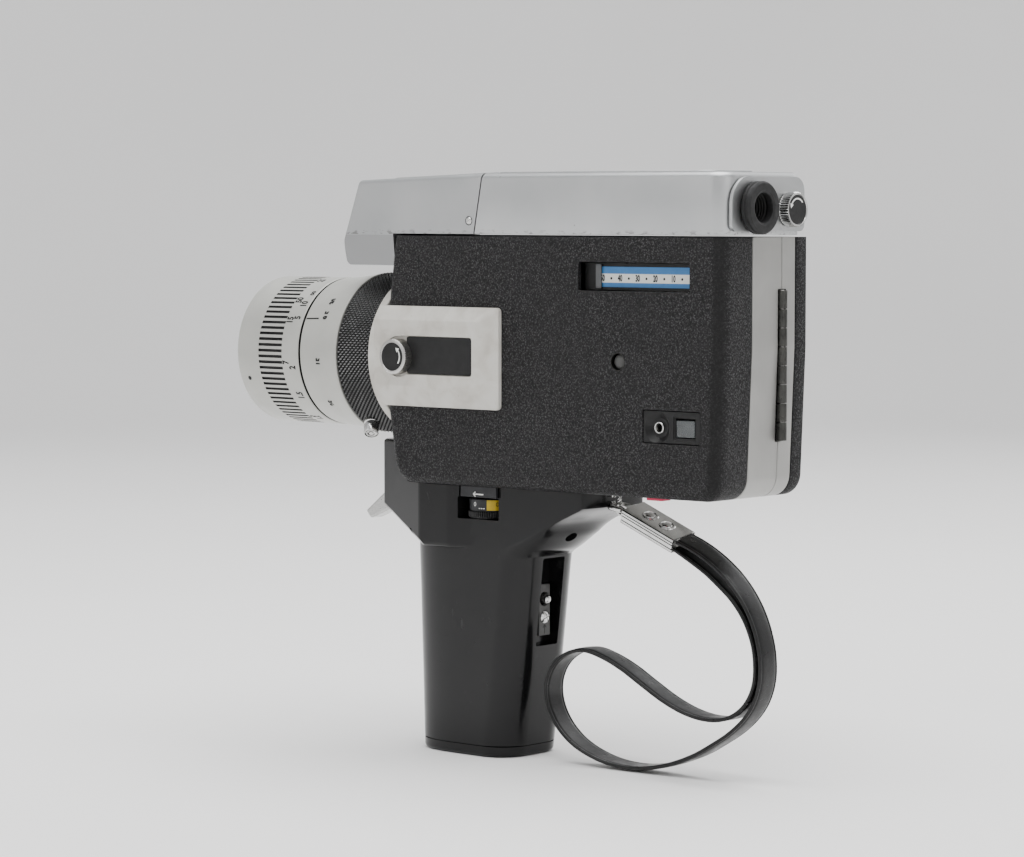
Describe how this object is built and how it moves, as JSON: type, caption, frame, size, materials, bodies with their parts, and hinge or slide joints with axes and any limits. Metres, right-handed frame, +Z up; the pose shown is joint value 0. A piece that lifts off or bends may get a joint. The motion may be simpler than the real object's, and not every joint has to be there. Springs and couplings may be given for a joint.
{
  "type": "cine camera",
  "caption": "Hand-held reflex zoom cine camera on a pistol grip, with a hinged film door, top finder housing, trigger and a wrist strap.",
  "frame": {"origin": "centre of the pistol grip's base face, which the camera stands on", "axes": "+Z up, the lens looks along -Y, the camera's left side faces +X"},
  "size_m": [0.0634, 0.2332, 0.2104],
  "materials": {
    "leatherette": "black grained leatherette on an alloy shell",
    "satin_alloy": "satin anodised",
    "frame_alloy": "brushed, light",
    "barrel_paint": "warm white-silver satin paint",
    "black_knurl": "black, knurled",
    "chrome": "bright",
    "grip_plastic": "glossy black",
    "black_plastic": "matt black",
    "rubber": "dull",
    "strap_leather": "smooth black",
    "scale_print": "blue and white print",
    "grey_plastic": "satin grey",
    "glass": "coated, clear",
    "machined_metal": "machined",
    "brass": "machined",
    "cell_wrap": "printed sleeve, no marks"
  },
  "bodies": {
    "camera_body": {"left_cover": "leatherette", "housing_rear": "satin_alloy", "housing_front": "satin_alloy", "rear_end_plate": "satin_alloy", "chassis": "frame_alloy", "lens_mount": "barrel_paint", "lens_barrel": "barrel_paint", "film_gate": "chrome", "hinge_pin": "chrome", "housing_screw": "chrome", "remote_jack": "chrome", "strap_clip": "chrome", "strap_lug": "chrome", "trigger_pin": "chrome", "grip_base": "grip_plastic", "grip_handle": "grip_plastic", "grip_head": "grip_plastic", "meter_bezel": "black_plastic", "finder_tube": "black_plastic", "name_plate": "black_plastic", "socket_panel": "black_plastic", "mode_label": "black_plastic", "strap": "strap_leather", "counter_scale": "scale_print", "meter_window": "glass", "eyepiece_lens": "glass", "battery_lamp": "glass", "relay_lens": "glass", "beam_splitter": "glass", "mechanism_plate": "machined_metal", "hinge_leaf_body": "machined_metal", "meter_cell": "machined_metal", "meter_cell_battery": "machined_metal", "motor": "machined_metal", "battery_1": "cell_wrap", "battery_2": "cell_wrap", "battery_3": "cell_wrap", "battery_4": "cell_wrap"},
    "film_door": {"film_door_frame": "frame_alloy", "film_door_cover": "leatherette", "hinge_leaf_door": "machined_metal"},
    "latch": {"door_latch": "satin_alloy"},
    "focus": {"focus_ring": "barrel_paint", "front_lens": "glass"},
    "zoom": {"zoom_ring": "black_knurl", "zoom_lever": "chrome"},
    "variator": {"variator_lens": "glass"},
    "meter_cap": {"cell_cap": "chrome"},
    "eyepiece": {"eyecup": "rubber", "eyepiece_barrel": "black_plastic"},
    "shutter_knob": {"eyepiece_shutter_knob": "chrome"},
    "finder_blade": {"eyepiece_shutter": "machined_metal"},
    "counter_hand": {"counter_pointer": "grey_plastic"},
    "battery_check": {"check_button": "grey_plastic"},
    "trigger_lever": {"trigger": "satin_alloy"},
    "speed_dial": {"mode_dial": "black_plastic"},
    "filter_key": {"filter_slider": "black_plastic"},
    "motor_rotor": {"motor_pinion": "brass"},
    "film_shutter": {"shutter_disc": "machined_metal"},
    "takeup": {"takeup_spindle": "black_plastic"}
  },
  "joints": [
    {"name": "door_hinge", "type": "hinge", "parent": "camera_body", "child": "film_door", "pos_m": [-0.0094, 0.1254, 0.1442], "axis": [0, 0, -1], "range_deg": [0, 110]},
    {"name": "latch_slide", "type": "slide", "parent": "film_door", "child": "latch", "axis": [0, 0, 1], "range_m": [0, 0.005]},
    {"name": "focus_turn", "type": "hinge", "parent": "camera_body", "child": "focus", "pos_m": [0, -0.0859, 0.14435], "axis": [0, -1, 0], "range_deg": [-60, 180]},
    {"name": "zoom_turn", "type": "hinge", "parent": "camera_body", "child": "zoom", "pos_m": [0, -0.0405, 0.14435], "axis": [0, -1, 0], "range_deg": [-8, 72]},
    {"name": "variator_slide", "type": "slide", "parent": "camera_body", "child": "variator", "axis": [0, 1, 0], "range_m": [-0.0013, 0.0109]},
    {"name": "meter_cap_turn", "type": "hinge", "parent": "camera_body", "child": "meter_cap", "pos_m": [0.0296, -0.0174, 0.1446], "axis": [1, 0, 0], "range_deg": [0, 60]},
    {"name": "dioptre_turn", "type": "hinge", "parent": "camera_body", "child": "eyepiece", "pos_m": [0.0087, 0.128, 0.1982], "axis": [0, 1, 0], "range_deg": [-60, 60]},
    {"name": "eyepiece_shutter_turn", "type": "hinge", "parent": "camera_body", "child": "shutter_knob", "pos_m": [-0.0102, 0.128, 0.1976], "axis": [0, 1, 0], "range_deg": [0, 90]},
    {"name": "finder_blade_slide", "type": "slide", "parent": "camera_body", "child": "finder_blade", "axis": [1, 0, 0], "range_m": [0, 0.015]},
    {"name": "counter_run", "type": "slide", "parent": "camera_body", "child": "counter_hand", "axis": [0, 1, 0], "range_m": [0, 0.036]},
    {"name": "check_press", "type": "slide", "parent": "camera_body", "child": "battery_check", "axis": [-1, 0, 0], "range_m": [0, 0.0012], "stiffness_N_per_m": 400, "springref_m": -0.0004},
    {"name": "trigger_pull", "type": "hinge", "parent": "camera_body", "child": "trigger_lever", "pos_m": [0, -0.0386, 0.1], "axis": [1, 0, 0], "range_deg": [0, 9], "stiffness_Nm_per_rad": 0.4, "springref_deg": -8.59},
    {"name": "speed_dial_turn", "type": "hinge", "parent": "camera_body", "child": "speed_dial", "pos_m": [0.0102, 0.0106, 0.09], "axis": [0, 0, 1], "range_deg": [-90, 45]},
    {"name": "filter_slide", "type": "slide", "parent": "camera_body", "child": "filter_key", "axis": [0, 0, 1], "range_m": [0, 0.008]},
    {"name": "shutter_spin", "type": "hinge", "parent": "camera_body", "child": "film_shutter", "pos_m": [0, 0.012, 0.1325], "axis": [0, -1, 0], "continuous": true},
    {"name": "motor_spin", "type": "hinge", "parent": "camera_body", "child": "motor_rotor", "pos_m": [0, 0.0088, 0.121], "axis": [0, -1, 0], "continuous": true},
    {"name": "takeup_spin", "type": "hinge", "parent": "camera_body", "child": "takeup", "pos_m": [0.008, 0.074, 0.141], "axis": [-1, 0, 0], "continuous": true}
  ],
  "couplings": [
    {"joint": "variator_slide", "follows": "zoom_turn", "m_per_rad": 0.0086},
    {"joint": "finder_blade_slide", "follows": "eyepiece_shutter_turn", "m_per_rad": 0.0095},
    {"joint": "motor_spin", "follows": "shutter_spin", "ratio": -2.3333}
  ]
}
